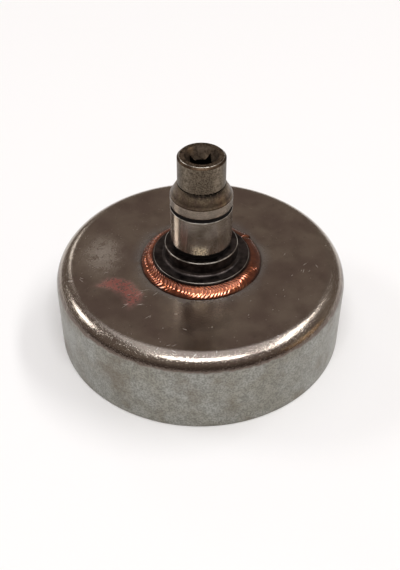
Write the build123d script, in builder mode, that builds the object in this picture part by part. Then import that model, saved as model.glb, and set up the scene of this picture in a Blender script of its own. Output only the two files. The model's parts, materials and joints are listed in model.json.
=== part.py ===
from build123d import *

import os
from math import cos, pi, radians, sin, tan

# Clutch drum of a brush cutter: a pressed steel cup whose inside the clutch shoes grip,
# a turned hub that runs in a ball bearing and drives a square-ended shaft, and the braze
# that joins the two.
# Millimetres. +Z runs up the shaft, and the origin is the centre of the cup's open rim.

# Drum cup
drum_bore = 78.0  # diameter that the shoes grip
drum_wall = 2.0
drum_height = 24.0  # rim to the outer face of the floor
bend_radius = 3.0  # inside of the bend between floor and side
rim_chamfer = 0.3

# Hub below the bearing
spigot_diameter = 17.0  # locates the hub in the cup's floor
spigot_clearance = 0.05  # on the radius
spigot_chamfer = 0.5
flange_height = 2.5
flange_ledge = 3.45  # flange edge past the shoulder
flange_chamfer = 0.3
shoulder_height = 4.2  # flange to bearing
shoulder_step = 1.7  # shoulder edge past the journal
shoulder_chamfer = 0.2
shoulder_fillet = 1.0

# Bearing seat and retaining ring groove
journal_diameter = 17.0  # bore of the bearing
bearing_width = 12.0
bearing_end_play = 0.5  # room for a shim under the ring
relief_depth = 0.5  # run-out for the grinding wheel at the shoulder
relief_height = 1.5
groove_depth = 0.45
groove_width = 1.1
land_height = 4.3  # to the corner of land and cone
land_fillet = 3.8  # rounds that corner

# Nose above the bearing
cone_height = 1.9
collar_height = 8.5
collar_rim = 1.3  # flat between the socket's mouth and the outer chamfer
collar_chamfer = 0.6
neck_depth = 0.25  # tool run-out at the foot of the collar
neck_width = 0.4

# Socket for the drive shaft
shaft_square = 5.5  # across the flats of the shaft's end
socket_clearance = 0.1  # across the flats
socket_depth = 24.0
socket_corner = 0.15
pilot_diameter = 6.2  # drilled before the square is broached
pilot_overrun = 3.0  # chip room past the broach
drill_point = 118.0
mouth_diameter = 9.2
mouth_angle = 47.0  # whole angle of the lead-in cone

# Centre hole in the spigot's end
centre_drill = 2.5
centre_depth = 3.0
centre_cone = 5.3
centre_angle = 60.0

# Braze bead in the corner of flange and floor
bead_width = 3.6  # leg along the floor
bead_height = 1.9  # leg up the flange's edge
bead_crown = 0.5  # bulge of the face past a straight fillet
ripple_pitch = 2.3
ripple_thickness = 1.0
ripple_height = 0.14
ripple_lean = 28.0  # turn of each ripple from the radius, clockwise from above going out
stop_azimuth = 26.0  # where the bead runs over its own start
stop_lumps = 2  # that the torch left there
stop_spread = 8.0  # angle from the first lump to the last
stop_radius = 2.1
stop_sink = 0.25  # centre of a lump below the floor's outer face

drum_radius = drum_bore / 2 + drum_wall
journal_radius = journal_diameter / 2
shoulder_radius = journal_radius + shoulder_step
flange_radius = shoulder_radius + flange_ledge
spigot_radius = spigot_diameter / 2
mouth_radius = mouth_diameter / 2
collar_radius = mouth_radius + collar_rim + collar_chamfer
pilot_radius = pilot_diameter / 2
socket_square = shaft_square + socket_clearance
bead_middle = flange_radius + bead_width / 2

spigot_end = drum_height - drum_wall
flange_top = drum_height + flange_height
shoulder_top = flange_top + shoulder_height
journal_foot = shoulder_top + relief_height
groove_foot = shoulder_top + bearing_width + bearing_end_play
groove_top = groove_foot + groove_width
land_top = groove_top + land_height
cone_top = land_top + cone_height
neck_top = cone_top + neck_width
hub_top = cone_top + collar_height
pilot_foot = hub_top - socket_depth - pilot_overrun

FROM_BELOW = (Align.CENTER, Align.CENTER, Align.MIN)
FROM_ABOVE = (Align.CENTER, Align.CENTER, Align.MAX)


def ring_edge(part, radius, height):
    """The part's circular edge nearest to a radius and a height."""
    rings = part.edges().filter_by(GeomType.CIRCLE)
    return rings.sort_by(lambda ring: abs(ring.radius - radius) + abs(ring.center().Z - height))[0]


os.makedirs("parts", exist_ok=True)

# Pressed cup, open below, with the hub's hole in its floor
with BuildPart() as drum_cup:
    Cylinder(drum_radius, drum_height, align=FROM_BELOW)
    fillet(drum_cup.edges().group_by(Axis.Z)[-1], bend_radius + drum_wall)
    offset(amount=-drum_wall, openings=drum_cup.faces().sort_by(Axis.Z)[0])
    Hole(spigot_radius + spigot_clearance)
    chamfer(drum_cup.edges().group_by(Axis.Z)[0], rim_chamfer)

# Turned hub: spigot, flange, bearing shoulder, ground journal, ring groove, cone and collar
with BuildPart() as hub_shaft:
    with BuildSketch(Plane.XZ):
        with BuildLine():
            Polyline(
                (0, spigot_end),
                (spigot_radius, spigot_end),
                (spigot_radius, drum_height),
                (flange_radius, drum_height),
                (flange_radius, flange_top),
                (shoulder_radius, flange_top),
                (shoulder_radius, shoulder_top),
                (journal_radius - relief_depth, shoulder_top),
                (journal_radius - relief_depth, journal_foot),
                (journal_radius, journal_foot),
                (journal_radius, groove_foot),
                (journal_radius - groove_depth, groove_foot),
                (journal_radius - groove_depth, groove_top),
                (journal_radius, groove_top),
                (journal_radius, land_top),
                (collar_radius, cone_top),
                (collar_radius - neck_depth, cone_top),
                (collar_radius - neck_depth, neck_top),
                (collar_radius, neck_top),
                (collar_radius, hub_top),
                (0, hub_top),
                close=True,
            )
        make_face()
    revolve(axis=Axis.Z)
    fillet(ring_edge(hub_shaft, shoulder_radius, flange_top), shoulder_fillet)
    fillet(ring_edge(hub_shaft, journal_radius, land_top), land_fillet)
    chamfer(ring_edge(hub_shaft, spigot_radius, spigot_end), spigot_chamfer)
    chamfer(ring_edge(hub_shaft, flange_radius, flange_top), flange_chamfer)
    chamfer(ring_edge(hub_shaft, shoulder_radius, shoulder_top), shoulder_chamfer)
    chamfer(ring_edge(hub_shaft, collar_radius, hub_top), collar_chamfer)
    # Conical mouth and pilot hole, then the square that the broach leaves
    with Locations((0, 0, hub_top)):
        CounterSinkHole(pilot_radius, mouth_radius, hub_top - pilot_foot, mouth_angle)
    with Locations((0, 0, pilot_foot)):
        Cone(
            0,
            pilot_radius,
            pilot_radius / tan(radians(drill_point / 2)),
            align=FROM_ABOVE,
            mode=Mode.SUBTRACT,
        )
    with BuildSketch(Plane.XY.offset(hub_top)):
        RectangleRounded(socket_square, socket_square, socket_corner)
    extrude(amount=-socket_depth, mode=Mode.SUBTRACT)
    with Locations(Plane((0, 0, spigot_end), z_dir=(0, 0, -1))):
        CounterSinkHole(centre_drill / 2, centre_cone / 2, centre_depth, centre_angle)

# One ripple of the bead: a slice of a slightly larger bead that leans from the radius
lean = radians(ripple_lean)
ripple_plane = Plane(
    (bead_middle, 0, drum_height),
    x_dir=(cos(lean), -sin(lean), 0),
    z_dir=(-sin(lean), -cos(lean), 0),
)
ripple_reach = (bead_width / 2 + ripple_height) / cos(lean)
with BuildPart() as ripple:
    with BuildSketch(ripple_plane):
        with BuildLine():
            toe = (ripple_reach, 0)
            top = (-ripple_reach, bead_height + ripple_height)
            SagittaArc(toe, top, -bead_crown)
            Polyline(top, (-ripple_reach, 0), toe)
        make_face()
    extrude(amount=ripple_thickness / 2, both=True)

# Braze bead: a crowned ring with its ripples and the lumps where it closes on its start
ripple_count = round(2 * pi * bead_middle / ripple_pitch)
with BuildPart() as braze_bead:
    with BuildSketch(Plane.XZ):
        with BuildLine():
            toe = (flange_radius + bead_width, drum_height)
            top = (flange_radius, drum_height + bead_height)
            SagittaArc(toe, top, -bead_crown)
            Polyline(top, (flange_radius, drum_height), toe)
        make_face()
    revolve(axis=Axis.Z)
    with PolarLocations(0, ripple_count):
        add(ripple.part)
    with Locations((0, 0, drum_height - stop_sink)):
        with PolarLocations(bead_middle, stop_lumps, stop_azimuth, stop_spread, endpoint=True):
            Sphere(stop_radius)
    split(bisect_by=Plane.XY.offset(drum_height), keep=Keep.TOP)
    with Locations((0, 0, drum_height)):
        Cylinder(flange_radius, hub_top - drum_height, align=FROM_BELOW, mode=Mode.SUBTRACT)

drum_cup.part.label = "drum_cup"
export_step(drum_cup.part, "parts/drum_cup.step")
hub_shaft.part.label = "hub_shaft"
export_step(hub_shaft.part, "parts/hub_shaft.step")
braze_bead.part.label = "braze_bead"
export_step(braze_bead.part, "parts/braze_bead.step")
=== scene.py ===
"""Looks of a brush-cutter clutch drum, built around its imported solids.

The cup, the hub and the braze are each one surface worked out with numpy and stand for the
solid of the same place. Shapes are in millimetres and become metres when they enter a mesh.
"""

import json
import logging
import math
from abc import ABC, abstractmethod
from dataclasses import dataclass, field
from enum import Enum

import bpy
import numpy as np
from mathutils import Matrix, Vector


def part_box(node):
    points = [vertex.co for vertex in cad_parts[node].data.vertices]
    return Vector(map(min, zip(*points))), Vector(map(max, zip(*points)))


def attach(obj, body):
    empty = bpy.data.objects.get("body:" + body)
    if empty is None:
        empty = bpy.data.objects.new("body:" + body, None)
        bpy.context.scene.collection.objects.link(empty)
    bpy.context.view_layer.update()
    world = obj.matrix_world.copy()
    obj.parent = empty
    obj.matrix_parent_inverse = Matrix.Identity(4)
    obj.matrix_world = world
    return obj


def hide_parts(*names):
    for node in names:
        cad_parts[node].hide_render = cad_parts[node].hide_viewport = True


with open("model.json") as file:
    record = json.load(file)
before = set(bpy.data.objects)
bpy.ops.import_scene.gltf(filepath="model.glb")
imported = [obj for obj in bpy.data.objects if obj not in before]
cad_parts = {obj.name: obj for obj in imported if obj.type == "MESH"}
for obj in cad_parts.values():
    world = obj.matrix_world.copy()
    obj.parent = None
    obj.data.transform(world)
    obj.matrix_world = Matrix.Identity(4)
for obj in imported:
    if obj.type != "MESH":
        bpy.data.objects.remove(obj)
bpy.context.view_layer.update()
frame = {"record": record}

LOG = logging.getLogger("clutch_drum")
Tree = bpy.types.NodeTree
Socket = bpy.types.NodeSocket
MM = 0.001
BODY = "root"
PHOTO_SIZE = (400, 570)
SENSOR = 36.0
TURN = 2 * math.pi


def linear(code: str) -> tuple[float, float, float, float]:
    """Turns an sRGB hex colour into linear red, green, blue and alpha.

    Args:
        code: colour as "#rrggbb".

    Returns:
        The linear colour with an alpha of one.
    """
    shares = [int(code[i:i + 2], 16) / 255 for i in (1, 3, 5)]
    levels = [s / 12.92 if s <= 0.04045 else ((s + 0.055) / 1.055) ** 2.4 for s in shares]
    return (*levels, 1.0)


def add_node(tree: Tree, kind: str, inputs: dict | None = None, **settings) -> bpy.types.Node:
    """Adds a node with its settings, constants and links.

    Args:
        tree: node tree that gets the node.
        kind: Blender's name of the node's type.
        inputs: socket name or number to a constant, or to the output socket that feeds it.
        settings: the node's own properties.

    Returns:
        The new node.
    """
    node = tree.nodes.new(kind)
    for name, value in settings.items():
        setattr(node, name, value)
    for key, value in (inputs or {}).items():
        if isinstance(value, Socket):
            tree.links.new(value, node.inputs[key])
        else:
            node.inputs[key].default_value = value
    return node


def math_node(tree: Tree, operation: str, *values) -> Socket:
    """Adds a node that reckons with constants or sockets.

    Args:
        tree: node tree that gets the node.
        operation: Blender's name of the operation.
        values: the operands in their order.

    Returns:
        The result's socket.
    """
    return add_node(tree, "ShaderNodeMath", dict(enumerate(values)), operation=operation).outputs[0]


def rise_node(tree: Tree, value: Socket, low: float, high: float) -> Socket:
    """Adds a node that rises smoothly from 0 at low to 1 at high.

    Args:
        tree: node tree that gets the node.
        value: socket of the value to weigh.
        low: value where the rise starts.
        high: value where it ends.

    Returns:
        The weight's socket.
    """
    limits = {"Value": value, "From Min": low, "From Max": high}
    return add_node(tree, "ShaderNodeMapRange", limits, interpolation_type="SMOOTHSTEP").outputs[0]


def add_object(name: str, data: bpy.types.ID) -> bpy.types.Object:
    """Puts a mesh, a light or a camera into the scene, at the origin.

    Args:
        name: the object's name.
        data: what the object shows.

    Returns:
        The object.
    """
    made = bpy.data.objects.new(name, data)
    bpy.context.scene.collection.objects.link(made)
    return made


def mount(name: str) -> dict:
    """Finds a mount in the frame's record.

    Args:
        name: the mount's name.

    Returns:
        The mount's entry.
    """
    return next(entry for entry in frame["record"]["mounts"] if entry["name"] == name)


def smooth(low: float, high: float, values: np.ndarray) -> np.ndarray:
    """Rises from 0 at low to 1 at high along 3t^2 - 2t^3.

    Args:
        low: value where the rise starts.
        high: value where it ends; below low, the rise becomes a fall.
        values: values to weigh.

    Returns:
        Weights from 0 to 1.
    """
    share = np.clip((values - low) / (high - low), 0.0, 1.0)
    return share * share * (3 - 2 * share)


def bell(values: np.ndarray, middle: float, reach: float) -> np.ndarray:
    """A bell of height 1: e to the minus square of the distance from the middle over the reach.

    Args:
        values: values to weigh.
        middle: value under the bell's top.
        reach: distance at which the bell has fallen to 1/e.

    Returns:
        Weights from 0 to 1.
    """
    return np.exp(-((values - middle) / reach) ** 2)


def degrees_from(angles: np.ndarray, azimuth: float) -> np.ndarray:
    """Measures angles from an azimuth, the short way round.

    Args:
        angles: angles round the axis, in radians.
        azimuth: angle to measure from, in degrees.

    Returns:
        Degrees from -180 to 180.
    """
    return np.degrees(np.angle(np.exp(1j * (angles - math.radians(azimuth)))))


def outwards(azimuth: float, elevation: float) -> Vector:
    """Direction from the object to something that stands round it.

    Args:
        azimuth: degrees from the -y axis, rising towards +x.
        elevation: degrees above the floor.

    Returns:
        A vector of length one.
    """
    turn, rise = math.radians(azimuth), math.radians(elevation)
    return Vector((math.sin(turn) * math.cos(rise), -math.cos(turn) * math.cos(rise), math.sin(rise)))


@dataclass(frozen=True)
class Uneven:
    """A closed uneven line round the axis, by its height, its fewest and most lobes and a seed."""

    height: float
    fewest: int
    most: int
    seed: int

    def at(self, angles: np.ndarray) -> np.ndarray:
        """Sums sines with whole numbers of lobes, whose heights fall with the root of the lobes.

        Args:
            angles: angles round the axis.

        Returns:
            Values of about minus to plus the height; the seed picks the sines' phases.
        """
        rng = np.random.default_rng(self.seed)
        counts = np.arange(self.fewest, self.most + 1)
        phases = rng.uniform(0, TURN, counts.size)
        heights = 1 / np.sqrt(counts)
        waves = np.sin(np.multiply.outer(angles, counts) + phases) * heights
        return self.height * (waves.sum(-1) / np.sqrt((heights ** 2).sum()))


@dataclass(frozen=True)
class Corner:
    """A corner of a turned outline, in millimetres.

    The edge is the radius that rounds it, and the zone names its arc and the stretch that follows.
    """

    radius: float
    height: float
    edge: float
    zone: Enum


@dataclass(frozen=True)
class Outline:
    """A turned outline: straight stretches joined by arcs, as rows of radius and height.

    The step and the arc step, in millimetres, set how many strips a stretch or an arc is divided into,
    down to a fewest of rows. A corner that turns by less than the straight angle gets no arc.
    """

    corners: tuple[Corner, ...]
    closed: bool
    step: float = 0.7
    stretch_rows: int = 3
    arc_rows: int = 4
    arc_step: float = 0.12
    straight: float = 0.01

    def rows(self) -> tuple[np.ndarray, list[Enum]]:
        """Samples the outline.

        An arc turns its start's spoke into its end's spoke by equal angles. A straight stretch
        is divided by a cosine, so that its rows crowd towards the edges and hold them crisp.

        Returns:
            Rows of radius and height, and the zone of the strip that follows each row.
        """
        points = np.array([(c.radius, c.height) for c in self.corners])
        count = len(points)
        pieces: list[np.ndarray] = []
        zones: list[Enum] = []
        starts, ends = points.copy(), points.copy()
        arcs: list[np.ndarray] = [points[i:i + 1] for i in range(count)]
        for i, corner in enumerate(self.corners):
            if corner.edge <= 0 or (not self.closed and i in (0, count - 1)):
                continue
            back = points[i - 1] - points[i]
            ahead = points[(i + 1) % count] - points[i]
            back, ahead = back / np.linalg.norm(back), ahead / np.linalg.norm(ahead)
            inner = math.acos(float(np.clip(back @ ahead, -1, 1)))
            swing = math.pi - inner
            if swing < self.straight:
                continue
            reach = corner.edge / math.tan(inner / 2)
            middle = back + ahead
            centre = points[i] + middle / np.linalg.norm(middle) * corner.edge / math.sin(inner / 2)
            starts[i], ends[i] = points[i] + back * reach, points[i] + ahead * reach
            strips = math.ceil(swing * corner.edge / self.arc_step)
            share = np.linspace(0, 1, max(self.arc_rows, strips + 1))[:, None]
            leaving = np.sin((1 - share) * swing) * (starts[i] - centre)
            coming = np.sin(share * swing) * (ends[i] - centre)
            arcs[i] = centre + (leaving + coming) / math.sin(swing)
        for i, corner in enumerate(self.corners):
            pieces.append(arcs[i])
            zones += [corner.zone] * (len(arcs[i]) - 1)
            if i == count - 1 and not self.closed:
                break
            stop = starts[(i + 1) % count]
            length = np.linalg.norm(stop - ends[i])
            parts = max(self.stretch_rows, math.ceil(length / self.step))
            share = (1 - np.cos(math.pi * np.arange(1, parts) / parts)) / 2
            pieces.append(ends[i] + share[:, None] * (stop - ends[i]))
            zones += [corner.zone] * parts
        return np.concatenate(pieces), zones


@dataclass
class Shell:
    """A surface on a grid of rows and columns, where the columns run round the axis and close.

    Points are rows x columns x 3 in millimetres. A closed shell joins its last row to its first,
    and an open one has a pole on the axis at each end.
    """

    name: str
    points: np.ndarray
    zones: list[Enum]
    closed: bool
    masks: dict[str, np.ndarray] = field(default_factory=dict)

    def build(self, materials: dict[Enum, bpy.types.Material], sharp: float) -> bpy.types.Object:
        """Makes the mesh: a quad between each two rows and columns, and a fan of triangles at a pole.

        Args:
            materials: the finish of each zone.
            sharp: angle in degrees past which an edge is shaded as sharp.

        Returns:
            The object, in the scene.
        """
        rows, columns, _ = self.points.shape
        number = np.arange(rows * columns).reshape(rows, columns)
        after = number if self.closed else number[:-1]
        upper = np.roll(number, -1, 0) if self.closed else number[1:]
        right, upper_right = np.roll(after, -1, 1), np.roll(upper, -1, 1)
        faces = np.stack([after, right, upper_right, upper], -1).reshape(-1, 4).tolist()
        slots = list(materials)
        face_slots = np.repeat([slots.index(z) for z in self.zones], columns)
        corners = self.points.reshape(-1, 3)
        masks = {name: mask.ravel() for name, mask in self.masks.items()}
        if not self.closed:
            ends = self.points[[0, -1]].mean(1)
            ends[:, :2] = 0.0
            corners = np.concatenate([corners, ends])
            masks = {name: np.append(mask, [mask[0], mask[-1]]) for name, mask in masks.items()}
            first, last = rows * columns, rows * columns + 1
            ring, top = number[0], number[-1]
            faces += np.stack([np.roll(ring, -1), ring, np.full(columns, first)], -1).tolist()
            faces += np.stack([top, np.roll(top, -1), np.full(columns, last)], -1).tolist()
            pole_slots = np.repeat([face_slots[0], face_slots[-1]], columns)
            face_slots = np.concatenate([face_slots, pole_slots])
        mesh = bpy.data.meshes.new(self.name)
        mesh.from_pydata((corners * MM).tolist(), [], faces)
        mesh.polygons.foreach_set("use_smooth", np.ones(len(faces), bool))
        for material in materials.values():
            mesh.materials.append(material)
        mesh.polygons.foreach_set("material_index", face_slots.astype(np.int32))
        for name, mask in masks.items():
            layer = mesh.attributes.new(name, "FLOAT", "POINT")
            layer.data.foreach_set("value", mask.astype(np.float32))
        mesh.set_sharp_from_angle(angle=math.radians(sharp))
        mesh.update()
        LOG.info("%s: %d corners, %d faces", self.name, len(corners), len(faces))
        return add_object(self.name, mesh)


def spin(radii: np.ndarray, heights: np.ndarray, angles: np.ndarray) -> np.ndarray:
    """Turns rows of radius and height round the axis: x = r cos a, y = r sin a, z = h.

    Args:
        radii: one value per row, or rows x angles.
        heights: the same for the height.
        angles: angles of the columns.

    Returns:
        Points, rows x angles x 3.
    """
    shape = (len(radii), len(angles))
    r = np.broadcast_to(radii if radii.ndim == 2 else radii[:, None], shape)
    z = np.broadcast_to(heights if heights.ndim == 2 else heights[:, None], shape)
    return np.stack([r * np.cos(angles), r * np.sin(angles), z], -1)


class CupZone(Enum):
    """Stretches of the cup's outline."""

    RIM = "rim"
    OUTSIDE = "outside"
    HOLE = "hole"
    INSIDE = "inside"


class HubZone(Enum):
    """Stretches of the hub's outline, by how each was finished."""

    SPIGOT = "spigot"
    FLANGE = "flange"
    EDGE = "edge"
    GROUND = "ground"
    GROOVE = "groove"
    LAND = "land"
    CONE = "cone"
    NECK = "neck"
    COLLAR = "collar"
    CHAMFER = "chamfer"
    RIM = "rim"
    MOUTH = "mouth"
    SOCKET = "socket"


class BeadZone(Enum):
    """Sides of the braze bead."""

    FACE = "face"
    ROOT = "root"


class Pattern(ABC):
    """A pattern on a surface, as a mask from 0 to 1."""

    @abstractmethod
    def mask(self, tree: Tree, place: Socket) -> Socket:
        """Adds the pattern's nodes.

        Args:
            tree: node tree that gets them.
            place: the surface's place in millimetres.

        Returns:
            The mask's socket.
        """


@dataclass(frozen=True)
class Patches(Pattern):
    """Uneven patches of a real size in millimetres: the mask rises where a noise goes from low to high."""

    size: float
    low: float = 0.3
    high: float = 0.7
    detail: float = 3.0

    def mask(self, tree: Tree, place: Socket) -> Socket:
        """Reads the noise in space; see Pattern.mask for arguments and result."""
        cells = {"Vector": place, "Scale": 1 / self.size, "Detail": self.detail}
        noise = add_node(tree, "ShaderNodeTexNoise", cells).outputs[0]
        return rise_node(tree, noise, self.low, self.high)


@dataclass(frozen=True)
class Rings(Pattern):
    """Tool marks round the axis, by their pitch in millimetres along the outline."""

    pitch: float
    low: float = 0.3
    high: float = 0.7
    detail: float = 3.0

    def mask(self, tree: Tree, place: Socket) -> Socket:
        """Reads a noise along the outline only; see Pattern.mask for arguments and result."""
        along = add_node(tree, "ShaderNodeAttribute", attribute_name="along").outputs["Fac"]
        lines = {"W": along, "Scale": 1 / self.pitch, "Detail": self.detail}
        noise = add_node(tree, "ShaderNodeTexNoise", lines, noise_dimensions="1D").outputs[0]
        return rise_node(tree, noise, self.low, self.high)


@dataclass(frozen=True)
class Stroke(Pattern):
    """A scratch as a thin ellipse seen from above, in millimetres and degrees from the x axis.

    It is full within the core, a share of its half length and half width, and reaches through the sheet.
    """

    x: float
    y: float
    length: float
    width: float
    turn: float
    reach: float = 1000.0
    core: float = 0.4

    def mask(self, tree: Tree, place: Socket) -> Socket:
        """Measures from the scratch's middle in half lengths; see Pattern.mask for arguments and result."""
        local = {
            "Vector": place,
            "Location": (self.x, self.y, 0.0),
            "Rotation": (0.0, 0.0, math.radians(self.turn)),
            "Scale": (self.length / 2, self.width / 2, self.reach),
        }
        spot = add_node(tree, "ShaderNodeMapping", local, vector_type="TEXTURE").outputs[0]
        off = add_node(tree, "ShaderNodeVectorMath", {0: spot}, operation="LENGTH").outputs["Value"]
        return rise_node(tree, off, 1.0, self.core)


@dataclass(frozen=True)
class Mark:
    """Something laid over a metal, and what it does there.

    It lies where its named masks and its pattern meet. It covers the colour with its tone by a
    share, and adds to roughness, to metallic shine and, in millimetres, to the height.
    """

    where: tuple[str, ...] = ()
    pattern: Pattern | None = None
    tone: str = ""
    cover: float = 1.0
    rough: float = 0.0
    shine: float = 0.0
    lift: float = 0.0

    def lay(self, tree: Tree, place: Socket, coat: dict) -> None:
        """Adds the mark's nodes on top of what the metal has so far.

        Args:
            tree: the material's node tree.
            place: the surface's place in millimetres.
            coat: the shader's inputs by name, each a constant or a socket; the mark renews them.
        """
        shares = []
        for name in self.where:
            shares.append(add_node(tree, "ShaderNodeAttribute", attribute_name=name).outputs["Fac"])
        if self.pattern:
            shares.append(self.pattern.mask(tree, place))
        share = shares[0]
        for other in shares[1:]:
            share = math_node(tree, "MULTIPLY", share, other)
        if self.tone:
            part = math_node(tree, "MULTIPLY", share, self.cover)
            blend = {0: part, 6: coat["Base Color"], 7: linear(self.tone)}
            coat["Base Color"] = add_node(tree, "ShaderNodeMix", blend, data_type="RGBA").outputs[2]
        for name, gain in (("Roughness", self.rough), ("Metallic", self.shine), ("Height", self.lift)):
            if gain:
                coat[name] = math_node(tree, "MULTIPLY_ADD", share, gain, coat[name])


@dataclass(frozen=True)
class Metal:
    """A metal surface: one tone and roughness, with marks over them.

    A stretch draws highlights out across the marks of a lathe, by its turn from them as a share of a
    whole turn, and a glaze is a thin clear coat.
    """

    name: str
    tone: str
    rough: float
    marks: tuple[Mark, ...]
    stretch: float = 0.0
    stretch_turn: float = 0.25
    glaze: float = 0.0
    glaze_rough: float = 0.08

    def build(self) -> bpy.types.Material:
        """Makes the material and lays the marks in their order.

        Returns:
            The material.
        """
        material = bpy.data.materials.new(self.name)
        material.use_nodes = True
        tree = material.node_tree
        shader = tree.nodes["Principled BSDF"]
        where = add_node(tree, "ShaderNodeTexCoord").outputs["Object"]
        place = add_node(tree, "ShaderNodeMapping", {"Vector": where, "Scale": (1 / MM,) * 3}).outputs[0]
        coat = {"Base Color": linear(self.tone), "Roughness": self.rough, "Metallic": 1.0, "Height": 0.0}
        for mark in self.marks:
            mark.lay(tree, place, coat)
        relief = {"Height": coat.pop("Height"), "Distance": MM}
        coat["Normal"] = add_node(tree, "ShaderNodeBump", relief).outputs[0]
        coat |= {"Anisotropic": self.stretch, "Anisotropic Rotation": self.stretch_turn}
        coat |= {"Coat Weight": self.glaze, "Coat Roughness": self.glaze_rough}
        if self.stretch:
            rings = add_node(tree, "ShaderNodeTangent", direction_type="RADIAL", axis="Z")
            coat["Tangent"] = rings.outputs[0]
        for name, value in coat.items():
            if isinstance(value, Socket):
                tree.links.new(value, shader.inputs[name])
            else:
                shader.inputs[name].default_value = value
        return material


@dataclass(frozen=True)
class Scuffing:
    """Scratches that handling left about one place, all turned much the same way.

    The shortest is a share of the longest, widths are in millimetres and turns in degrees.
    """

    x: float
    y: float
    spread: float
    count: int
    longest: float
    turn: float
    seed: int
    tone: str = "#e6e0d8"
    cover: float = 0.6
    rough: float = 0.15
    shortest: float = 0.15
    widths: tuple[float, float] = (0.22, 0.4)
    turn_spread: float = 25.0

    def marks(self) -> tuple[Mark, ...]:
        """Draws places, lengths, widths and turns from a seeded generator.

        Returns:
            One mark for each scratch.
        """
        rng = np.random.default_rng(self.seed)
        places = rng.normal((self.x, self.y), self.spread, (self.count, 2))
        lengths = self.longest * rng.uniform(self.shortest, 1.0, self.count)
        widths = rng.uniform(*self.widths, self.count)
        turns = self.turn + rng.normal(0.0, self.turn_spread, self.count)
        strokes = [Stroke(*map(float, sizes)) for sizes in zip(*places.T, lengths, widths, turns)]
        return tuple(Mark((), stroke, self.tone, self.cover, self.rough) for stroke in strokes)


# Cold-rolled sheet after the press: an ironed, oily floor that mirrors a dim room softly, a bend
# whose drawn grain breaks highlights into sparkles, and a matt side that takes up the pale table.
PRESSED = Metal(
    "cold_rolled_steel_pressed", "#9c8d86", 0.17,
    (
        Mark((), Patches(9.0, detail=6.0), "#b0a498", 1.0, 0.05),
        Mark((), Patches(5.0, 0.5, 0.72, 7.0), "#7f7168", 0.3),
        Mark((), Patches(1.2, 0.6, 0.75, 5.0), "#746a62", 0.5, 0.05),
        Mark((), Patches(0.5), lift=0.0008),
        Mark((), Patches(0.5, 0.7, 0.76, 2.0), "#c9c0b4", 0.5, 0.1),
        Mark(("halo",), Patches(2.5, 0.1, 0.6, 6.0), "#aaa9a8", 0.65, 0.1),
        # A narrow painted contact shadow darkens the floor round the braze's toe.
        Mark(("scorch",), Patches(0.6, 0.2, 0.6), "#2c2522", 0.85, 0.1),
        Mark(("matt",), Patches(3.0, 0.25, 0.6, 8.0), "#c8bfb4", 0.9, 0.14),
        Mark(("matt",), Patches(0.5, 0.42, 0.62, 4.0), "#e2dbd1", 0.7, 0.06, lift=0.006),
        Mark(("drawn",), Patches(0.5, detail=3.0), "#a19a8e", 0.8, -0.05, lift=0.014),
        # Pale specks on the bend are painted sparkles, over small real dents.
        Mark(("drawn",), Patches(0.4, 0.56, 0.64, 2.0), "#dcd6cc", 0.3, 0.05, lift=0.008),
        # A dark band round the middle of the bend is a painted dark reflection.
        Mark(("band",), Patches(1.5, 0.1, 0.5, 6.0), "#4e403a", 0.75),
        Mark(("side",), None, "#a1a19b", 1.0, 0.2),
        Mark(("side",), Patches(7.0, 0.3, 0.7, 5.0), "#928f84", 0.8),
        Mark(("side",), Patches(2.0, 0.4, 0.65, 8.0), "#716f68", 0.35),
        Mark(("side",), Patches(0.5, 0.4, 0.62, 3.0), "#4f4c46", 0.42),
        Mark(("side",), Patches(9.0, 0.5, 0.7, 6.0), "#6a5d4d", 0.55),
        Mark(("side",), Patches(0.6, 0.7, 0.76, 2.0), "#45403a", 0.8),
        *Scuffing(-19.0, -15.0, 5.0, 12, 4.0, 15.0, 1).marks(),
        *Scuffing(26.0, -6.0, 6.0, 9, 2.5, 60.0, 2).marks(),
        *Scuffing(0.0, -36.0, 3.5, 4, 2.2, 50.0, 3).marks(),
        *Scuffing(-32.0, -4.0, 3.0, 4, 3.0, -10.0, 4).marks(),
        *Scuffing(-13.0, -28.0, 4.0, 10, 2.0, 15.0, 5).marks(),
        *Scuffing(14.0, -27.0, 6.0, 8, 1.2, 40.0, 6).marks(),
        Mark(("dab",), Patches(0.7, 0.3, 0.55), "#a5352a", 1.0, 0.2, -0.6),
    ),
)
# Shoes rub rings into the bore, which stays grey and dull from their dust.
RUBBED = Metal(
    "steel_rubbed_by_clutch_shoes", "#7d7974", 0.32,
    (Mark((), Patches(5.0), "#a7a39d", 1.0, 0.06), Mark((), Rings(0.25), lift=0.003)),
)
# A turning tool leaves fine rings, which draw highlights out along the axis.
TURNED = Metal(
    "steel_turned", "#81786d", 0.26,
    (Mark((), Patches(1.6, detail=5.0), "#94897d"), Mark((), Rings(0.16), lift=0.003)),
    stretch=0.9,
)
# The torch sooted the flange and the shoulder; handling rubbed some of it off again.
SOOTED = Metal(
    "steel_turned_and_sooted_by_the_torch", "#2e2928", 0.3,
    (
        Mark((), Patches(2.0, detail=6.0), "#544d4a", 1.0, 0.05),
        Mark((), Patches(0.5, 0.45, 0.7), "#262221", 0.6, 0.1, lift=0.003),
        Mark((), Rings(0.2), lift=0.003),
    ),
)
# Edges are rubbed bright and catch a line of light.
EDGE = Metal("steel_edge_worn_bright", "#8f8a83", 0.3, (Mark((), Patches(1.2), "#cfc9bf", 1.0, 0.08),))
# The ground seat mirrors its surroundings in upright streaks, with a pale painted reflection at its foot in
# front.
GROUND = Metal(
    "steel_ground_bearing_seat", "#989083", 0.14,
    (
        Mark((), Patches(4.0), "#b9b1a8", 1.0, 0.02),
        Mark((), Rings(0.1), lift=0.0002),
        Mark(("film",), Patches(0.5, 0.2, 0.65), "#e6d6b4", 0.9, 0.15, -0.7),
    ),
    stretch=1.0,
)
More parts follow.
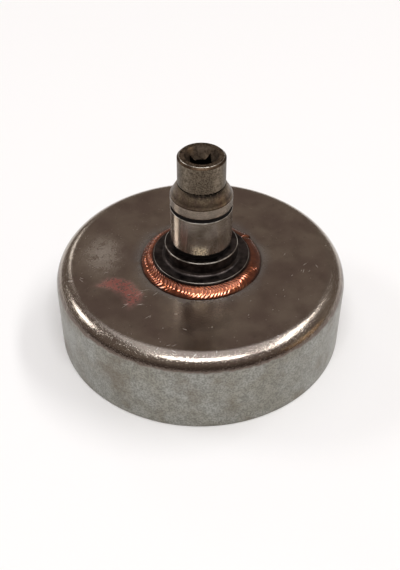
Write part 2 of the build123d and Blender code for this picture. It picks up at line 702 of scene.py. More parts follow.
# The parted groove and the relief are painted near black, as painted shade in these narrow recesses, duller
# in patches.
GROOVED = Metal(
    "steel_parted_groove_full_of_grime", "#0d0b0a", 0.5,
    (Mark((), Patches(1.0, 0.0, 0.4), "#120e0c", 1.0, 0.2, -0.3),),
)
# Heat browned the turned cone, and black forging scale is left where the tool didn't reach.
CONED = Metal(
    "steel_turned_cone_tempered_brown", "#7d6c61", 0.34,
    (
        Mark((), Patches(1.8, detail=5.0), "#998972", 1.0, 0.05),
        Mark((), Patches(0.5, 0.42, 0.62, 3.0), "#554839", 0.5, 0.05, lift=0.012),
        Mark(("line",), None, "#2e2420", 0.85, lift=-0.02),
        Mark(("scale",), Patches(0.6, 0.2, 0.45, 4.0), "#1d1916", 1.0, 0.3),
    ),
    stretch=0.3,
)
# Scale in the run-out is matt and black.
SCALED = Metal(
    "steel_with_forging_scale", "#191613", 0.55,
    (Mark((), Patches(0.6, 0.45, 0.6), "#5d5246", 1.0, -0.1),),
)
# Tumbling left the collar evenly pitted and satin, and a painted sheen makes two of its flanks paler.
SATIN = Metal(
    "steel_forged_collar_tumbled", "#413930", 0.42,
    (
        Mark((), Patches(1.4, detail=6.0), "#544a3f"),
        Mark((), Patches(0.4, 0.35, 0.7, 3.0), "#9c907e", 0.45, 0.05, lift=0.01),
        Mark(("worn",), Patches(0.9, 0.3, 0.7, 5.0), "#a89c8b", 0.5),
        Mark((), Rings(0.3), lift=0.002),
    ),
    stretch=0.6,
)
# The thin chamfer is painted dark brown and dull beside the rubbed edge: a painted dark reflection where it
# would catch a highlight.
CHAMFER_SHADE = Metal(
    "steel_chamfer_burnt_brown", "#3b2f25", 0.4,
    (Mark((), Patches(0.8, detail=4.0), "#5a4a3b", 1.0, 0.05),),
)
# Heat browned the collar's end, and the shaft's end polished it in places.
BROWNED = Metal(
    "steel_tempered_brown_rim", "#53473b", 0.22,
    (
        Mark((), Patches(1.2, detail=5.0), "#857767", 1.0, 0.05),
        Mark((), Patches(0.4, 0.4, 0.65), "#a09282", 0.4, 0.05, lift=0.004),
    ),
)
# The countersink chattered a little, so that its cone glints in spots.
MOUTHED = Metal(
    "steel_countersunk_mouth", "#625950", 0.3,
    (
        Mark((), Patches(1.4, detail=5.0), "#978b7e", 1.0, 0.06),
        Mark((), Patches(0.4, 0.4, 0.65), "#b0a598", 0.4, 0.05, lift=0.006),
        Mark((), Rings(0.25), lift=0.004),
    ),
)
# The broached socket is painted dark, as painted shade deep in the hole.
BROACHED = Metal(
    "steel_broached_and_oiled", "#2a2623", 0.36,
    (Mark((), Patches(1.6), "#453f39", 1.0, 0.08),),
)
# Braze as the torch left it: glossy copper with white and golden glints; soot and painted shade darken its
# valleys and toes.
COPPER = Metal(
    "copper_alloy_braze", "#94492b", 0.15,
    (
        Mark((), Patches(1.6, detail=4.0), "#bb6f4b", 1.0, 0.03),
        Mark((), Patches(0.3), lift=0.002),
        Mark(("soot",), None, "#2a1109", 0.9, 0.12),
    ),
    glaze=1.0,
    glaze_rough=0.05,
)


@dataclass
class DrumCup:
    """The pressed cup, open below, with the hub's hole in its floor.

    Sizes are in millimetres, the paint's turn is in radians, and the matt patch fades by shares of its
    size. A pair that ends in fade goes from where something is gone to where it is full.
    """

    radius: float
    height: float
    bore: float
    hole: float
    hole_room: float = 0.05
    bend: float = 5.0
    chamfer: float = 0.3
    edge: float = 0.12
    columns: int = 440
    row_step: float = 1.0
    bend_step: float = 0.15
    sharp: float = 40.0
    sag: float = 0.05
    sag_fade: tuple[float, float] = (4.0, 8.0)
    sag_offset: float = 4.0
    sag_reach: float = 6.0
    sag_uneven: Uneven = Uneven(0.5, 2, 5, 3)
    floor_fade: tuple[float, float] = (2.5, 0.5)
    halo_width: float = 3.6
    halo_uneven: Uneven = Uneven(0.35, 2, 9, 5)
    toe_shadow_fade: tuple[float, float] = (0.6, 0.2)
    matt_place: tuple[float, float] = (-27.0, 6.0)
    matt_size: tuple[float, float] = (5.0, 7.5)
    matt_fade: tuple[float, float] = (1.7, 0.0)
    dab_place: tuple[float, float] = (-23.0, -10.0)
    dab_turn: float = 0.9
    dab_end_fade: tuple[float, float] = (8.0, 5.0)
    dab_side_fade: tuple[float, float] = (3.4, 2.0)
    dab_bow: float = 0.06
    dab_shift: float = 1.0
    dab_cover: float = 0.6
    side_fade: tuple[float, float] = (1.8, 1.0)
    side_uneven: Uneven = Uneven(0.15, 20, 150, 6)
    drawn_fade: tuple[float, float] = (4.0, 1.5)
    reflection_foot_fade: tuple[float, float] = (0.8, 1.4)
    reflection_head_fade: tuple[float, float] = (3.5, 2.5)

    @classmethod
    def from_frame(cls, spigot: float) -> "DrumCup":
        """Reads the cup's sizes from its solid and from the bore's mount.

        Args:
            spigot: radius of the hub's spigot, which the hole takes with a little room.

        Returns:
            The cup.
        """
        low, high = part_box("drum_cup")
        radius = min(-low[0], -low[1], high[0], high[1]) / MM
        bore = mount("drum_bore")["dims"]["r_mm"]
        return cls(radius, high[2] / MM, bore, spigot + cls.hole_room)

    def outline(self) -> Outline:
        """Lists the corners from the rim up the side, over the floor and back down the inside.

        Returns:
            The closed outline.
        """
        wall = self.radius - self.bore
        inner = self.height - wall
        cut = self.chamfer
        return Outline(
            (
                Corner(self.radius - cut, 0.0, self.edge, CupZone.RIM),
                Corner(self.radius, cut, self.edge, CupZone.OUTSIDE),
                Corner(self.radius, self.height, self.bend, CupZone.OUTSIDE),
                Corner(self.hole, self.height, self.edge, CupZone.HOLE),
                Corner(self.hole, inner, self.edge, CupZone.INSIDE),
                Corner(self.bore, inner, self.bend - wall, CupZone.INSIDE),
                Corner(self.bore, cut, self.edge, CupZone.RIM),
                Corner(self.bore + cut, 0.0, self.edge, CupZone.RIM),
            ),
            closed=True,
            step=self.row_step,
            arc_step=self.bend_step,
        )

    def masks(self, points: np.ndarray, outside: np.ndarray, toe: float) -> dict[str, np.ndarray]:
        """Weighs where the cup's marks are.

        The side ends on the lower bend at an uneven line, the drawn grain covers the bend and the side,
        and a painted dark reflection runs round the middle of the bend. The halo and a narrow painted contact
        shadow follow the braze's toe. The matt patch is an ellipse on the floor, and the paint is a short
        bowed stroke.

        Args:
            points: the cup's grid.
            outside: which rows belong to its outside.
            toe: radius of the braze's outer edge.

        Returns:
            A mask for each, from 0 to 1.
        """
        x, y, z = np.moveaxis(points, -1, 0)
        radius, angle = np.hypot(x, y), np.arctan2(y, x)
        outer = outside[:, None]
        floor = outer * smooth(*self.floor_fade, self.height - z)
        halo = floor * smooth(1.0, 0.0, (radius - toe) / (self.halo_width * (1 + self.halo_uneven.at(angle))))
        # Painted contact shadow round the braze's toe.
        scorch = floor * smooth(*self.toe_shadow_fade, radius - toe)
        matt_x = (x - self.matt_place[0]) / self.matt_size[0]
        matt_y = (y - self.matt_place[1]) / self.matt_size[1]
        matt = floor * smooth(*self.matt_fade, np.hypot(matt_x, matt_y))
        dab_x, dab_y = x - self.dab_place[0], y - self.dab_place[1]
        cosine, sine = math.cos(self.dab_turn), math.sin(self.dab_turn)
        along = dab_x * cosine - dab_y * sine
        across = dab_x * sine + dab_y * cosine + self.dab_bow * along ** 2 - self.dab_shift
        stroke = smooth(*self.dab_end_fade, np.abs(along)) * smooth(*self.dab_side_fade, np.abs(across))
        rise = z - (self.height - self.bend)
        side = smooth(*self.side_fade, rise + self.side_uneven.at(angle))
        drawn = np.maximum(smooth(*self.drawn_fade, self.bore - radius), side)
        # Painted dark reflection round the middle of the bend.
        band = outer * smooth(*self.reflection_foot_fade, rise) * smooth(*self.reflection_head_fade, rise)
        dab = self.dab_cover * floor * stroke
        return {
            "side": side, "drawn": drawn, "band": band, "halo": halo,
            "scorch": scorch, "matt": matt, "dab": dab,
        }

    def build(self, toe: float) -> bpy.types.Object:
        """Spins the outline and lets the floor sag a little round the braze, as heat leaves it.

        The sag falls off as a bell from the braze's toe, on both faces of the floor alike, and
        a closed uneven line makes it deeper on some sides.

        Args:
            toe: radius of the braze's outer edge.

        Returns:
            The cup's object.
        """
        rows, zones = self.outline().rows()
        angles = np.arange(self.columns) * TURN / self.columns
        points = spin(rows[:, 0], rows[:, 1], angles)
        flat = smooth(*self.sag_fade, self.bore - rows[:, 0])
        depth = self.sag * flat * bell(rows[:, 0], toe + self.sag_offset, self.sag_reach)
        points[..., 2] -= depth[:, None] * (1 + self.sag_uneven.at(angles))
        outside = np.array([zone in (CupZone.OUTSIDE, CupZone.RIM) for zone in zones], float)
        shell = Shell("pressed_cup", points, zones, True, self.masks(points, outside, toe))
        length = np.append(0, np.cumsum(np.linalg.norm(np.diff(rows, axis=0), axis=1)))
        shell.masks["along"] = np.broadcast_to(length[:, None], points.shape[:2])
        outer, rubbed = PRESSED.build(), RUBBED.build()
        finish = {CupZone.RIM: outer, CupZone.OUTSIDE: outer, CupZone.HOLE: outer, CupZone.INSIDE: rubbed}
        piece = shell.build(finish, self.sharp)
        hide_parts("drum_cup")
        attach(piece, BODY)
        return piece


@dataclass
class HubShaft:
    """The turned hub: spigot, flange, shoulder, ground journal, groove, cone, collar and socket.

    Sizes are in millimetres and angles in degrees. Relief, groove and neck are each a depth and a height,
    the centre hole is its drill, depth and sink, and each flank with painted sheen is a middle and a reach
    from the front.
    """

    foot: float
    top: float
    flange: float
    journal: float
    journal_foot: float
    journal_top: float
    seat: float
    spigot: float = 8.5
    spigot_chamfer: float = 0.5
    flange_height: float = 2.5
    flange_chamfer: float = 0.3
    shoulder_step: float = 1.7
    shoulder_chamfer: float = 0.2
    shoulder_fillet: float = 1.0
    relief: tuple[float, float] = (0.5, 1.5)
    groove: tuple[float, float] = (0.45, 1.1)
    land: float = 2.7
    land_fillet: float = 0.4
    cone: float = 3.5
    neck: tuple[float, float] = (0.25, 0.4)
    collar: float = 6.5
    collar_chamfer: float = 0.6
    mouth: float = 4.6
    mouth_half_angle: float = 23.5
    square: float = 2.8
    square_corner: float = 0.15
    square_depth: float = 24.0
    pilot: float = 3.1
    pilot_overrun: float = 3.0
    drill_half_angle: float = 59.0
    centre_hole: tuple[float, float, float] = (1.25, 3.0, 2.65)
    centre_half_angle: float = 30.0
    edge: float = 0.06
    wear: float = 0.1
    lip: float = 0.3
    pole: float = 0.2
    sharp: float = 32.0
    front: float = -101.0
    scale_reach: float = 1.8
    scale_turn: float = 15.0
    scale_fade: tuple[float, float] = (75.0, 20.0)
    scale_least: float = 0.4
    foot_reflection_rise: float = 1.0
    foot_reflection_height_fade: tuple[float, float] = (3.2, 0.4)
    foot_reflection_angle_fade: tuple[float, float] = (22.0, 6.0)
    land_line: float = 2.8
    line_pitch: float = 0.75
    line_width: float = 0.17
    lines: int = 3
    left_flank: tuple[float, float] = (-33.0, 13.0)
    right_flank: tuple[float, float] = (45.0, 15.0)
    columns: int = 320
    angle_digits: int = 6
    mouth_rows: int = 14
    wall_rows: int = 16

    @property
    def corner_start(self) -> float:
        """Angle from a flat's middle at which the square's round corner starts."""
        return math.atan((self.square - self.square_corner) / self.square)

    @classmethod
    def from_frame(cls, seat: float) -> "HubShaft":
        """Reads the hub's sizes from its solid and from the journal's mount.

        Args:
            seat: height of the floor's outer face, which carries the flange.

        Returns:
            The hub.
        """
        low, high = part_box("hub_shaft")
        journal = mount("bearing_journal")
        half = journal["dims"]["length_mm"] / 2
        middle = journal["pos_m"][2] / MM
        reach = round(max(high[0], high[1]) / MM, 2)
        radius = journal["dims"]["r_mm"]
        return cls(low[2] / MM, high[2] / MM, reach, radius, middle - half, middle + half, seat)

    def outline(self) -> Outline:
        """Lists the corners from the centre hole, round the outside and over the collar to the mouth.

        Returns:
            The open outline, which starts on the axis and ends at the mouth's edge.
        """
        zone = HubZone
        flange_top = self.seat + self.flange_height
        shoulder = self.journal + self.shoulder_step
        shoulder_top = self.journal_foot - self.relief[1]
        groove_top = self.journal_top + self.groove[1]
        land_top = groove_top + self.land
        cone_top = land_top + self.cone
        neck_top = cone_top + self.neck[1]
        drill, depth, sink = self.centre_hole
        sink_depth = (sink - drill) / math.tan(math.radians(self.centre_half_angle))
        waist = self.collar - self.neck[0]
        root, rim = self.journal - self.groove[0], self.collar - self.collar_chamfer
        cut, bevel, edge, wear = self.flange_chamfer, self.shoulder_chamfer, self.edge, self.wear
        return Outline(
            (
                Corner(self.pole, self.foot + depth, 0.0, zone.SPIGOT),
                Corner(drill, self.foot + depth, edge, zone.SPIGOT),
                Corner(drill, self.foot + sink_depth, edge, zone.SPIGOT),
                Corner(sink, self.foot, edge, zone.SPIGOT),
                Corner(self.spigot - self.spigot_chamfer, self.foot, edge, zone.SPIGOT),
                Corner(self.spigot, self.foot + self.spigot_chamfer, edge, zone.SPIGOT),
                Corner(self.spigot, self.seat, edge, zone.FLANGE),
                Corner(self.flange, self.seat, edge, zone.FLANGE),
                Corner(self.flange, flange_top - cut, edge, zone.FLANGE),
                Corner(self.flange - cut + wear, flange_top - wear, edge, zone.EDGE),
                Corner(self.flange - cut, flange_top, edge, zone.FLANGE),
                Corner(shoulder, flange_top, self.shoulder_fillet, zone.FLANGE),
                Corner(shoulder, shoulder_top - bevel, edge, zone.EDGE),
                Corner(shoulder - bevel, shoulder_top, edge, zone.FLANGE),
                Corner(self.journal - self.relief[0], shoulder_top, edge, zone.GROOVE),
                Corner(self.journal - self.relief[0], self.journal_foot, edge, zone.GROOVE),
                Corner(self.journal, self.journal_foot, edge, zone.GROUND),
                Corner(self.journal, self.journal_top - self.lip, edge, zone.EDGE),
                Corner(self.journal - wear, self.journal_top - self.lip + wear, edge, zone.GROOVE),
                Corner(root, self.journal_top, edge, zone.GROOVE),
                Corner(root, groove_top, edge, zone.GROOVE),
                Corner(self.journal, groove_top, edge, zone.LAND),
                Corner(self.journal, land_top, self.land_fillet, zone.CONE),
                Corner(self.collar, cone_top, edge, zone.NECK),
                Corner(waist, cone_top, edge, zone.NECK),
                Corner(waist, neck_top, edge, zone.NECK),
                Corner(self.collar, neck_top, edge, zone.COLLAR),
                Corner(self.collar, self.top - self.collar_chamfer, edge, zone.CHAMFER),
                Corner(rim + wear, self.top - wear, edge, zone.EDGE),
                Corner(rim, self.top, edge, zone.RIM),
                Corner(self.mouth, self.top, edge, zone.MOUTH),
            ),
            closed=False,
        )

    def angles(self) -> np.ndarray:
        """Even angles, with more at the socket's corners and where the square leaves the pilot hole.

        Returns:
            The columns' angles, rising.
        """
        even = np.arange(self.columns) * TURN / self.columns
        kink, bend = math.acos(self.square / self.pilot), self.corner_start
        offsets = np.array([kink, bend, (bend + math.pi / 4) / 2])
        offsets = np.concatenate([offsets, math.pi / 2 - offsets])
        extra = np.add.outer(np.arange(4) * math.pi / 2, offsets).ravel()
        return np.unique(np.round(np.concatenate([even, extra]), self.angle_digits))

    def hole(self, angles: np.ndarray) -> np.ndarray:
        """Radius of the socket's wall: the larger of the pilot hole and a square with round corners.

        Within a flat, the square's radius is its half width over the cosine of the angle from the
        flat's middle. At a corner, it is the far crossing of the ray with the corner's circle.

        Args:
            angles: angles round the axis.

        Returns:
            The radius at each angle.
        """
        turn = np.abs((angles + math.pi / 4) % (math.pi / 2) - math.pi / 4)
        off = math.pi / 4 - turn
        flat = self.square / np.cos(turn)
        middle = (self.square - self.square_corner) * math.sqrt(2)
        inside = np.clip(self.square_corner ** 2 - (middle * np.sin(off)) ** 2, 0, None)
        rounded = middle * np.cos(off) + np.sqrt(inside)
        return np.maximum(np.where(turn < self.corner_start, flat, rounded), self.pilot)

    def socket(self, angles: np.ndarray) -> tuple[np.ndarray, np.ndarray, list[HubZone]]:
        """Rows of the mouth's cone, the socket's wall, the step to the pilot hole and its point.

        Args:
            angles: the columns' angles.

        Returns:
            Radii and heights, rows x angles, and the zone of the strip before each row.
        """
        wall = self.hole(angles)
        slope = 1 / math.tan(math.radians(self.mouth_half_angle))
        share = (np.arange(1, self.mouth_rows + 1) / self.mouth_rows)[:, None]
        cone_r = self.mouth + share * (wall - self.mouth)
        cone_z = self.top - (self.mouth - cone_r) * slope
        floor = self.top - self.square_depth
        down = (1 - np.cos(math.pi * np.arange(1, self.wall_rows + 1) / self.wall_rows)) / 2
        wall_z = cone_z[-1] + down[:, None] * (floor - cone_z[-1])
        wall_r = np.repeat(wall[None], self.wall_rows, 0)
        bottom = floor - self.pilot_overrun
        point = self.pilot / math.tan(math.radians(self.drill_half_angle))
        tip = bottom - point * (1 - self.pole / self.pilot)
        end_r = np.array([self.pilot, self.pilot, self.pilot, self.pilot / 2, self.pole])
        end_z = np.array([floor, (floor + bottom) / 2, bottom, bottom - point / 2, tip])
        radii = np.concatenate([cone_r, wall_r, np.repeat(end_r[:, None], angles.size, 1)])
        heights = np.concatenate([cone_z, wall_z, np.repeat(end_z[:, None], angles.size, 1)])
        zones = [HubZone.MOUTH] * self.mouth_rows + [HubZone.SOCKET] * (self.wall_rows + end_r.size)
        return radii, heights, zones

    def masks(self, points: np.ndarray, angles: np.ndarray) -> dict[str, np.ndarray]:
        """Weighs where the hub's marks are.

        The way along the outline is the running sum of the rows' distances. Scale thickens towards the
        run-out, most of all in front. A pale painted reflection lies round the journal's foot in front. Tool
        lines are bells round evenly spaced heights of the cone, and the painted sheen on two flanks is a
        bell round each of two angles.

        Args:
            points: the hub's grid.
            angles: the columns' angles.

        Returns:
            A mask for each; all but the way along run from 0 to about 1.
        """
        height = points[..., 2]
        steps = np.linalg.norm(np.diff(points, axis=0), axis=-1)
        along = np.concatenate([np.zeros((1, angles.size)), np.cumsum(steps, 0)])
        ahead = degrees_from(angles, self.front)
        land_foot = self.journal_top + self.groove[1]
        cone_top = land_foot + self.land + self.cone
        facing = smooth(*self.scale_fade, np.abs(ahead - self.scale_turn))
        scale = smooth(cone_top - self.scale_reach, cone_top, height)
        scale = scale * (self.scale_least + (1 - self.scale_least) * facing)
        # Pale painted reflection round the journal's foot, facing the front.
        foot = smooth(*self.foot_reflection_height_fade, np.abs(height - self.journal_foot - self.foot_reflection_rise))
        film = foot * smooth(*self.foot_reflection_angle_fade, np.abs(ahead))
        first = land_foot + self.land_line
        turns = np.round((height - first) / self.line_pitch).clip(0, self.lines - 1)
        line = bell(height - first - turns * self.line_pitch, 0.0, self.line_width)
        # Painted sheen on two flanks of the collar, as bells round two angles from the front.
        flanks = bell(ahead, *self.left_flank) + bell(ahead, *self.right_flank)
        worn = np.broadcast_to(flanks, height.shape)
        return {"along": along, "scale": scale, "film": film, "line": line, "worn": worn}

    def build(self) -> bpy.types.Object:
        """Spins the outline, joins the socket's rows to it and closes both ends on the axis.

        Returns:
            The hub's object.
        """
        rows, zones = self.outline().rows()
        angles = self.angles()
        radii, heights, socket_zones = self.socket(angles)
        outer = spin(rows[:, 0], rows[:, 1], angles)
        points = np.concatenate([outer, spin(radii, heights, angles)])
        shell = Shell("turned_hub", points, zones + socket_zones, False, self.masks(points, angles))
        finish = {
            HubZone.SPIGOT: TURNED,
            HubZone.FLANGE: SOOTED,
            HubZone.EDGE: EDGE,
            HubZone.GROUND: GROUND,
            HubZone.GROOVE: GROOVED,
            HubZone.LAND: TURNED,
            HubZone.CONE: CONED,
            HubZone.NECK: SCALED,
            HubZone.COLLAR: SATIN,
            HubZone.CHAMFER: CHAMFER_SHADE,
            HubZone.RIM: BROWNED,
            HubZone.MOUTH: MOUTHED,
            HubZone.SOCKET: BROACHED,
        }
        made = {metal: metal.build() for metal in dict.fromkeys(finish.values())}
        piece = shell.build({zone: made[metal] for zone, metal in finish.items()}, self.sharp)
        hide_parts("hub_shaft")
        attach(piece, BODY)
        return piece


@dataclass
class BrazeBead:
    """The braze in the corner of flange and floor, which closes on its own start.

    Sizes are in millimetres and angles in degrees. The dip and the ridge are each a middle and a reach
    from the stop, and so are the pit's wall and hole, in pit radii from its middle. A pair that ends in
    fade goes from where something is gone to where it is full; for the soot and painted shade at the
    edges, by shares across the face.
    """

    inner: float
    floor: float
    width: float = 3.6
    width_trim: float = 0.06
    width_uneven: Uneven = Uneven(0.07, 3, 24, 11)
    height: float = 1.9
    height_trim: float = 0.08
    height_uneven: Uneven = Uneven(0.05, 3, 20, 12)
    crown: float = 0.5
    crown_uneven: Uneven = Uneven(0.15, 2, 12, 13)
    sink: float = 0.06
    front: float = -100.0
    front_width: float = 0.2
    ripples: int = 92
    ripple_height: float = 0.085
    ripple_lean: float = 1.6
    ripple_middle: float = 0.6
    ripple_fade: tuple[float, float] = (0.0, 0.5)
    bow: float = 1.5
    drift: Uneven = Uneven(0.4, 3, 24, 15)
    strong: float = -140.0
    strong_fade: tuple[float, float] = (110.0, 60.0)
    faint: float = 0.12
    strength_uneven: Uneven = Uneven(0.2, 4, 30, 14)
    stop: float = 25.0
    lump_rise: tuple[float, float] = (-1.2, 1.2)
    lump_reach: float = 9.0
    lump_width: float = 0.6
    lump_height: float = 0.4
    dip: tuple[float, float] = (-1.4, 1.5)
    dip_width: float = 0.4
    dip_depth: float = 0.45
    ridge: tuple[float, float] = (-6.0, 3.0)
    ridge_height: float = 0.2
    pit_azimuth: float = -29.0
    pit_radius: float = 0.4
    pit_place: float = 0.6
    pit_wall: tuple[float, float] = (1.1, 0.45)
    pit_wall_height: float = 0.12
    pit_hole: tuple[float, float] = (0.0, 0.7)
    pit_hole_depth: float = 0.25
    toe_soot_and_shade_fade: tuple[float, float] = (0.2, 0.05)
    top_soot_and_shade_fade: tuple[float, float] = (0.87, 0.98)
    dip_soot_and_shade: float = 0.8
    shade: float = 0.45
    shade_fade: tuple[float, float] = (75.0, 115.0)
    valley_soot_and_shade: float = 0.4
    valley_fade: tuple[float, float] = (0.5, 0.05)
    columns: int = 1824
    face_rows: int = 34
    root_rows: int = 4
    sharp: float = 60.0

    @property
    def toe(self) -> float:
        """Radius of the bead's outer edge."""
        return self.inner + self.width

    def pit(self, angles: np.ndarray, radius: np.ndarray) -> np.ndarray:
        """A burst gas bubble: a bell of a wall round a bell of a hole, past the middle of the face.

        Args:
            angles: the columns' angles.
            radius: the face's radii, rows x angles.

        Returns:
            Height to add, rows x angles.
        """
        middle = self.inner + self.pit_place * self.width
        sideways = (angles - math.radians(self.pit_azimuth) % TURN) * middle
        away = np.hypot(sideways, radius - middle) / self.pit_radius
        wall = self.pit_wall_height * bell(away, *self.pit_wall)
        return wall - self.pit_hole_depth * bell(away, *self.pit_hole)

    def run_out(self, angles: np.ndarray) -> tuple[np.ndarray, np.ndarray, np.ndarray]:
        """Where the bead runs over its start: a bell that a steep rise cuts off, a dip and a low ridge.

        Args:
            angles: the columns' angles.

        Returns:
            The lump's, the dip's and the ridge's share at each angle.
        """
        off = degrees_from(angles, self.stop)
        lump = smooth(*self.lump_rise, off) * bell(off, 0.0, self.lump_reach)
        return lump, bell(off, *self.dip), bell(off, *self.ridge)

    def strength(self, angles: np.ndarray) -> np.ndarray:
        """How strong the ripples are: full on one side, faint on the other, and uneven all round.

        Args:
            angles: the columns' angles.

        Returns:
            The ripples' strength at each angle.
        """
        share = smooth(*self.strong_fade, np.abs(degrees_from(angles, self.strong)))
        return (self.faint + (1 - self.faint) * share) * (1 + self.strength_uneven.at(angles))

    def crests(self, angles: np.ndarray, bulge: np.ndarray) -> np.ndarray:
        """The ripples' hump sin(pi f^lean) of the fraction f of a phase.

        The phase grows with the angle and lags by a parabola across the face, so that each ripple
        bows forwards and drops steeply ahead.

        Args:
            angles: the columns' angles.
            bulge: parabola across the face, from 0 at both edges to 1.

        Returns:
            Heights from 0 to 1, rows x angles.
        """
        lag = self.bow * (1 - bulge) * self.ripples / TURN / (self.inner + self.width / 2)
        phase = self.ripples * angles / TURN + self.drift.at(angles) + lag
        return np.sin(math.pi * (phase % 1) ** self.ripple_lean)

    def build(self) -> bpy.types.Object:
        """Carries a crowned fillet round the flange and lays crescent ripples on it.

        Across the face, the share runs from the toe to the flange. The fillet is a straight line from
        toe to top plus a parabola of the crown's height along the line's normal. Ripples, the run-out
        and the pit add to the parabola. Soot and painted shade lie at both edges, in the dip and in the
        valleys between strong ripples, and painted shade dulls the side that is turned from them.

        Returns:
            The bead's object.
        """
        angles = np.arange(self.columns) * TURN / self.columns
        share = ((1 - np.cos(math.pi * np.linspace(0, 1, self.face_rows))) / 2)[:, None]
        bulge = 4 * share * (1 - share)
        lump, dip, ridge = self.run_out(angles)
        width = self.width - self.width_trim + self.front_width * np.cos(angles - math.radians(self.front))
        width = width + self.width_uneven.at(angles) + self.lump_width * lump - self.dip_width * dip
        height = self.height - self.height_trim + self.height_uneven.at(angles)
        crown = self.crown * (1 + self.crown_uneven.at(angles))
        crown = crown + self.lump_height * lump - self.dip_depth * dip + self.ridge_height * ridge
        strength, crest = self.strength(angles), self.crests(angles, bulge)
        lift = self.ripple_height * strength * (crest - self.ripple_middle) * smooth(*self.ripple_fade, bulge)
        radius = self.inner + width * (1 - share)
        level = self.floor + height * share
        slope = np.hypot(self.width, self.height)
        out = crown * bulge + lift + self.pit(angles, radius)
        radius = radius + out * self.height / slope
        level = level + out * self.width / slope
        radius[-1], level[0] = self.inner, self.floor
        root = np.linspace(0, 1, self.root_rows + 2)[1:-1, None]
        side_r = np.full((self.root_rows, angles.size), self.inner - self.sink)
        side_z = level[-1] + root * (self.floor - self.sink - level[-1])
        base_r = side_r[-1] + root * (radius[0] - side_r[-1])
        base_z = np.full((self.root_rows, angles.size), self.floor - self.sink)
        radii = np.concatenate([radius, side_r, base_r])
        heights = np.concatenate([level, side_z, base_z])
        # Soot and painted shade at both edges, in the dip and in the valleys; painted shade on the side
        # turned from the strong ripples.
        edges = smooth(*self.toe_soot_and_shade_fade, share) + smooth(*self.top_soot_and_shade_fade, share)
        shade = self.shade * smooth(*self.shade_fade, np.abs(degrees_from(angles, self.strong)))
        valley = self.valley_soot_and_shade * smooth(*self.valley_fade, crest) * np.clip(strength, 0, 1)
        soot = np.clip(edges + self.dip_soot_and_shade * dip + valley + shade, 0, 1)
        hidden = np.ones((2 * self.root_rows, angles.size))
        masks = {"soot": np.concatenate([soot, hidden])}
        zones = [BeadZone.FACE] * (self.face_rows - 1) + [BeadZone.ROOT] * (2 * self.root_rows + 1)
        shell = Shell("brazed_ring", spin(radii, heights, angles), zones, True, masks)
        copper = COPPER.build()
        piece = shell.build({BeadZone.FACE: copper, BeadZone.ROOT: copper}, self.sharp)
        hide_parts("braze_bead")
        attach(piece, BODY)
        return piece


@dataclass(frozen=True)
class SoftLamp:
    """A soft box by its angle to the right of the camera, elevation, distance, size and power."""

    name: str
    azimuth: float
    elevation: float
    width: float
    depth: float
    watts: float
    tint: str = "#ffffff"
    distance: float = 2.6

    def build(self, camera_azimuth: float, target: Vector) -> bpy.types.Object:
        """Adds the lamp, facing its target.

        Args:
            camera_azimuth: the camera's angle round the object, in degrees.
            target: point that the lamp faces.

        Returns:
            The lamp's object.
        """
        light = bpy.data.lights.new(self.name, "AREA")
        light.shape = "RECTANGLE"
        light.size, light.size_y = self.width, self.depth
        light.energy = self.watts
        light.color = linear(self.tint)[:3]
        out = outwards(camera_azimuth + self.azimuth, self.elevation)
        lamp = add_object(self.name, light)
        facing = out.to_track_quat("Z", "Y").to_matrix().to_4x4()
        lamp.matrix_world = Matrix.Translation(target + out * self.distance) @ facing
        LOG.info("lamp %s: %.1f W", self.name, self.watts)
        return lamp


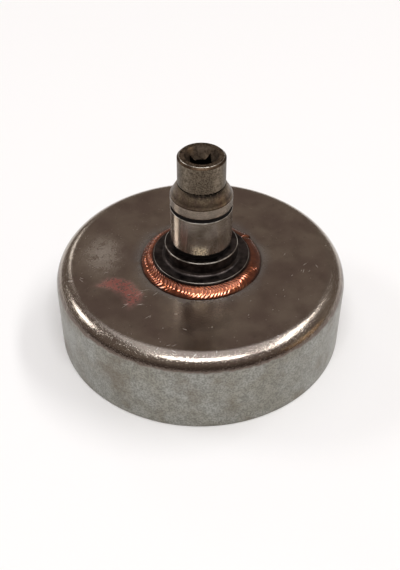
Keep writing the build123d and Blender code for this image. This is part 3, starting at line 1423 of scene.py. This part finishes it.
@dataclass
class Studio:
    """A white table in a dim room, with soft boxes, and the camera that took the photo."""

    azimuth: float = -11.2
    elevation: float = 39.8325
    distance: float = 243.75
    roll: float = 1.8403
    aim_right: float = 8.188
    aim_height: float = 23.91
    focal: float = 856.11
    centre: tuple[float, float] = (230.0, 260.0)
    clip_start: float = 0.01
    floor_reach: float = 1.6
    floor_tone: str = "#f9f9f9"
    floor_rough: float = 0.9
    floor_sheen: float = 0.1
    room_tone: str = "#80756d"
    lamps: tuple[SoftLamp, ...] = (
        SoftLamp("front_strip", 5.0, 68.0, 1.7, 0.35, 32.0),
        SoftLamp("right_strip", 105.0, 57.0, 1.9, 0.3, 17.0),
        SoftLamp("left_window", -104.0, 35.0, 0.8, 0.5, 9.0),
        SoftLamp("back_strip", -151.0, 29.0, 0.3, 0.6, 1.5),
        SoftLamp("ceiling", 180.0, 86.0, 2.6, 2.6, 17.0, "#f2f6ff"),
        SoftLamp("warm_wall", 80.0, 10.0, 1.4, 0.8, 2.8, "#e8c79a"),
    )

    def floor(self) -> bpy.types.Object:
        """Lays the table's top: a square at the height of zero.

        Returns:
            The floor's object.
        """
        reach = self.floor_reach
        mesh = bpy.data.meshes.new("table_top")
        corners = [(-reach, -reach, 0), (reach, -reach, 0), (reach, reach, 0), (-reach, reach, 0)]
        mesh.from_pydata(corners, [], [(0, 1, 2, 3)])
        paper = bpy.data.materials.new("white_paper")
        paper.use_nodes = True
        shader = paper.node_tree.nodes["Principled BSDF"]
        shader.inputs["Base Color"].default_value = linear(self.floor_tone)
        shader.inputs["Roughness"].default_value = self.floor_rough
        shader.inputs["Specular IOR Level"].default_value = self.floor_sheen
        mesh.materials.append(paper)
        floor = add_object("table_top", mesh)
        return floor

    def camera(self) -> bpy.types.Object:
        """Sets the camera that was fitted to the photo.

        Returns:
            The camera's object.
        """
        turn, roll = math.radians(self.azimuth), math.radians(self.roll)
        right = Vector((math.cos(turn), math.sin(turn), 0))
        back = outwards(self.azimuth, self.elevation)
        up = back.cross(right)
        aim = (self.aim_right * right + Vector((0, 0, self.aim_height))) * MM
        rolled_right = right * math.cos(roll) + up * math.sin(roll)
        rolled_up = up * math.cos(roll) - right * math.sin(roll)
        place = aim + back * self.distance * MM
        axes = Matrix((rolled_right, rolled_up, back)).transposed().to_4x4()
        wide, tall = PHOTO_SIZE
        data = bpy.data.cameras.new("photo_camera")
        data.sensor_width = SENSOR
        data.lens = self.focal * SENSOR / tall
        data.shift_x = (wide / 2 - self.centre[0]) / tall
        data.shift_y = (self.centre[1] - tall / 2) / tall
        data.clip_start = self.clip_start
        camera = add_object("photo_camera", data)
        camera.matrix_world = Matrix.Translation(place) @ axes
        bpy.context.scene.camera = camera
        return camera

    def build(self) -> None:
        """Lays the floor, dims the room, hangs the lamps and sets the camera."""
        scene = bpy.context.scene
        scene.view_settings.view_transform = "Standard"
        world = bpy.data.worlds.new("dim_room")
        world.use_nodes = True
        world.node_tree.nodes["Background"].inputs["Color"].default_value = linear(self.room_tone)
        scene.world = world
        self.floor()
        target = Vector((0, 0, self.aim_height * MM))
        for lamp in self.lamps:
            lamp.build(self.azimuth, target)
        self.camera()


def main() -> None:
    """Builds the cup, the hub and the bead, then the studio round them."""
    logging.basicConfig(level=logging.INFO, format="%(name)s: %(message)s")
    _, cup_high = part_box("drum_cup")
    hub = HubShaft.from_frame(cup_high[2] / MM)
    cup = DrumCup.from_frame(hub.spigot)
    bead = BrazeBead(hub.flange, cup.height)
    cup.build(bead.toe)
    hub.build()
    bead.build()
    Studio().build()


if __name__ == "__main__":
    main()
